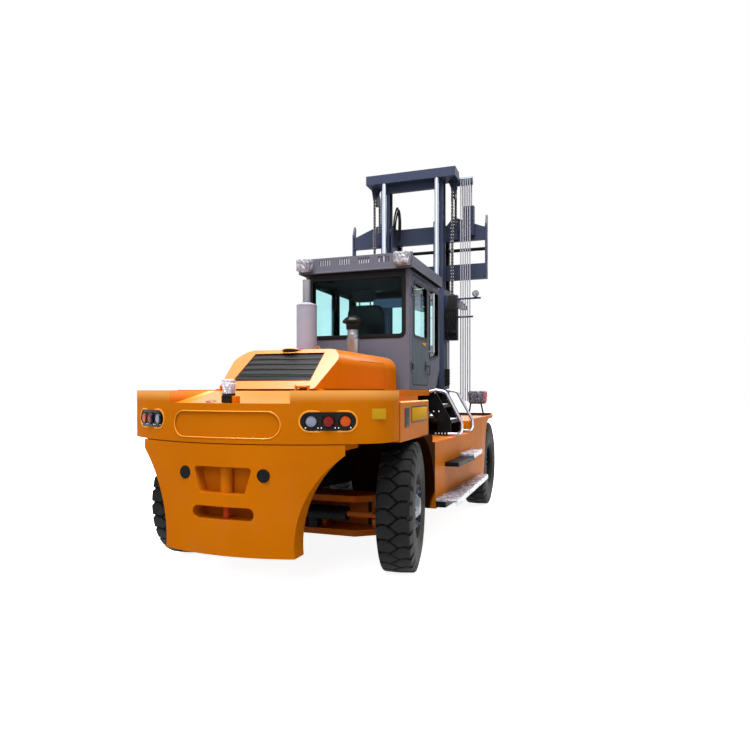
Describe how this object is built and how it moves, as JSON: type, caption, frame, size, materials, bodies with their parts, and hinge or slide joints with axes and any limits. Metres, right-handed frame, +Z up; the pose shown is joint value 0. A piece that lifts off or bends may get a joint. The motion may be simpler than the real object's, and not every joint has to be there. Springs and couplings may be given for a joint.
{
  "type": "forklift",
  "caption": "Heavy diesel forklift with a cab, twin front tyres, steered rear wheels, a tilting two-stage mast that raises the fork carriage, and sliding forks.",
  "frame": {"origin": "on the ground under the centre of the overall box", "axes": "+X to the truck's right, +Y forward towards the forks, +Z up"},
  "size_m": [2.8058, 7.46, 4.93],
  "materials": {
    "body_paint": "satin amber paint",
    "cab_paint": "satin blue-grey paint",
    "mast_paint": "satin slate paint",
    "black_paint": "satin black paint",
    "axle_paint": "satin orange paint",
    "tyre_rubber": "matt rubber",
    "rim_paint": "silver-grey paint",
    "glass": "tinted glass",
    "chrome": "polished",
    "tube_steel": "bright tube",
    "stack_steel": "grey metal",
    "film": "crumpled wrapping film",
    "lamp_plastic": "glossy black with coloured lenses",
    "chain_steel": "oiled chain steel",
    "hose_rubber": "matt rubber hose",
    "seat_fabric": "dark fabric"
  },
  "bodies": {
    "chassis": {"frame": "black_paint", "deck": "body_paint", "counterweight": "body_paint", "tail_plugs": "black_paint", "tow_pin": "axle_paint", "engine": "black_paint", "rear_lamps": "lamp_plastic", "beacon": "film", "side_bodies": "body_paint", "side_steps": "film", "stairs": "black_paint", "handrails": "tube_steel", "mirrors": "film", "hood_hinges": "black_paint", "cowl": "body_paint", "muffler": "stack_steel", "air_intake": "stack_steel", "cab_shell": "cab_paint", "cab_glass": "glass", "cab_roof": "cab_paint", "roof_lamps": "film", "driver_seat": "seat_fabric", "dash_and_wheel": "black_paint", "cab_fittings": "black_paint", "steer_axle": "axle_paint", "steer_cylinder": "black_paint", "drive_axle": "black_paint"},
    "hood": {"hood": "body_paint", "hood_grille": "black_paint"},
    "door_right": {"door_right": "cab_paint", "door_glass_right": "glass"},
    "door_left": {"door_left": "cab_paint", "door_glass_left": "glass"},
    "front_wheel_right": {"front_tyres_right": "tyre_rubber", "front_rims_right": "rim_paint"},
    "front_wheel_left": {"front_tyres_left": "tyre_rubber", "front_rims_left": "rim_paint"},
    "knuckle_right": {"knuckle_right": "axle_paint"},
    "knuckle_left": {"knuckle_left": "axle_paint"},
    "rear_wheel_right": {"rear_tyre_right": "tyre_rubber", "rear_rim_right": "rim_paint"},
    "rear_wheel_left": {"rear_tyre_left": "tyre_rubber", "rear_rim_left": "rim_paint"},
    "steer_rod": {"steer_rod": "chrome"},
    "mast": {"mast_outer": "mast_paint", "lift_barrels": "mast_paint"},
    "mast_inner": {"mast_inner": "mast_paint", "lift_rods": "chrome", "lift_chains_rear": "chain_steel", "hoses_rear": "hose_rubber"},
    "carriage": {"carriage": "mast_paint", "fork_positioner": "black_paint", "lift_chains_front": "chain_steel", "hoses_front": "hose_rubber"},
    "fork_right": {"fork_right": "black_paint"},
    "fork_left": {"fork_left": "black_paint"},
    "tilt_barrel_right": {"tilt_barrel_right": "mast_paint"},
    "tilt_barrel_left": {"tilt_barrel_left": "mast_paint"},
    "tilt_rod_right": {"tilt_rod_right": "chrome"},
    "tilt_rod_left": {"tilt_rod_left": "chrome"}
  },
  "joints": [
    {"name": "front_wheel_right", "type": "hinge", "parent": "chassis", "child": "front_wheel_right", "pos_m": [0.98, 0.8, 0.5625], "axis": [1, 0, 0], "continuous": true},
    {"name": "front_wheel_left", "type": "hinge", "parent": "chassis", "child": "front_wheel_left", "pos_m": [-0.98, 0.8, 0.5625], "axis": [1, 0, 0], "continuous": true},
    {"name": "steer_right", "type": "hinge", "parent": "chassis", "child": "knuckle_right", "pos_m": [0.85, -2.574, 0.5625], "axis": [0, 0, 1], "range_deg": [-53.8, 36.2]},
    {"name": "steer_left", "type": "hinge", "parent": "chassis", "child": "knuckle_left", "pos_m": [-0.85, -2.574, 0.5625], "axis": [0, 0, 1], "range_deg": [-53.8, 36.2]},
    {"name": "rear_wheel_right", "type": "hinge", "parent": "knuckle_right", "child": "rear_wheel_right", "pos_m": [1.04863, -2.54325, 0.5625], "axis": [0.9882, 0.153, 0], "continuous": true},
    {"name": "rear_wheel_left", "type": "hinge", "parent": "knuckle_left", "child": "rear_wheel_left", "pos_m": [-1.04863, -2.60475, 0.5625], "axis": [0.9882, 0.153, 0], "continuous": true},
    {"name": "steer_rod_slide", "type": "slide", "parent": "chassis", "child": "steer_rod", "axis": [1, 0, 0], "range_m": [-0.16, 0.11]},
    {"name": "hood_hinge", "type": "hinge", "parent": "chassis", "child": "hood", "pos_m": [0, -3.105, 1.596], "axis": [1, 0, 0], "range_deg": [0, 55]},
    {"name": "door_right_hinge", "type": "hinge", "parent": "chassis", "child": "door_right", "pos_m": [0.669, -0.82, 2.2], "axis": [0, 0, -1], "range_deg": [0, 85]},
    {"name": "door_left_hinge", "type": "hinge", "parent": "chassis", "child": "door_left", "pos_m": [-0.669, -0.82, 2.2], "axis": [0, 0, 1], "range_deg": [0, 85]},
    {"name": "mast_tilt", "type": "hinge", "parent": "chassis", "child": "mast", "pos_m": [0, 1.2, 0.55], "axis": [-1, 0, 0], "range_deg": [-12, 6]},
    {"name": "tilt_barrel_right_pivot", "type": "hinge", "parent": "chassis", "child": "tilt_barrel_right", "pos_m": [0.47, 0.3, 1.2], "axis": [-1, 0, 0], "range_deg": [-8, 8]},
    {"name": "tilt_barrel_left_pivot", "type": "hinge", "parent": "chassis", "child": "tilt_barrel_left", "pos_m": [-0.47, 0.3, 1.2], "axis": [-1, 0, 0], "range_deg": [-8, 8]},
    {"name": "tilt_rod_right_slide", "type": "slide", "parent": "tilt_barrel_right", "child": "tilt_rod_right", "axis": [0, 0.9668, 0.2556], "range_m": [-0.2, 0.12]},
    {"name": "tilt_rod_left_slide", "type": "slide", "parent": "tilt_barrel_left", "child": "tilt_rod_left", "axis": [0, 0.9668, 0.2556], "range_m": [-0.2, 0.12]},
    {"name": "lift", "type": "slide", "parent": "mast", "child": "mast_inner", "axis": [0, 0, 1], "range_m": [-1.5, 0.25], "deforming": ["lift_chains_rear", "hoses_rear"]},
    {"name": "carriage_lift", "type": "slide", "parent": "mast_inner", "child": "carriage", "axis": [0, 0, 1], "range_m": [-1.5, 0.25], "deforming": ["lift_chains_front", "hoses_front"]},
    {"name": "fork_right_shift", "type": "slide", "parent": "carriage", "child": "fork_right", "axis": [1, 0, 0], "range_m": [-0.23, 0.55]},
    {"name": "fork_left_shift", "type": "slide", "parent": "carriage", "child": "fork_left", "axis": [1, 0, 0], "range_m": [-0.55, 0.23]}
  ],
  "couplings": [
    {"joint": "steer_left", "follows": "steer_right", "ratio": 1},
    {"joint": "steer_rod_slide", "follows": "steer_right", "m_per_rad": 0.1525},
    {"joint": "tilt_barrel_right_pivot", "follows": "mast_tilt", "ratio": 0.1785},
    {"joint": "tilt_barrel_left_pivot", "follows": "mast_tilt", "ratio": 0.1785},
    {"joint": "tilt_rod_right_slide", "follows": "mast_tilt", "m_per_rad": 0.864},
    {"joint": "tilt_rod_left_slide", "follows": "mast_tilt", "m_per_rad": 0.864},
    {"joint": "carriage_lift", "follows": "lift", "ratio": 1},
    {"joint": "fork_left_shift", "follows": "fork_right_shift", "ratio": -1}
  ]
}
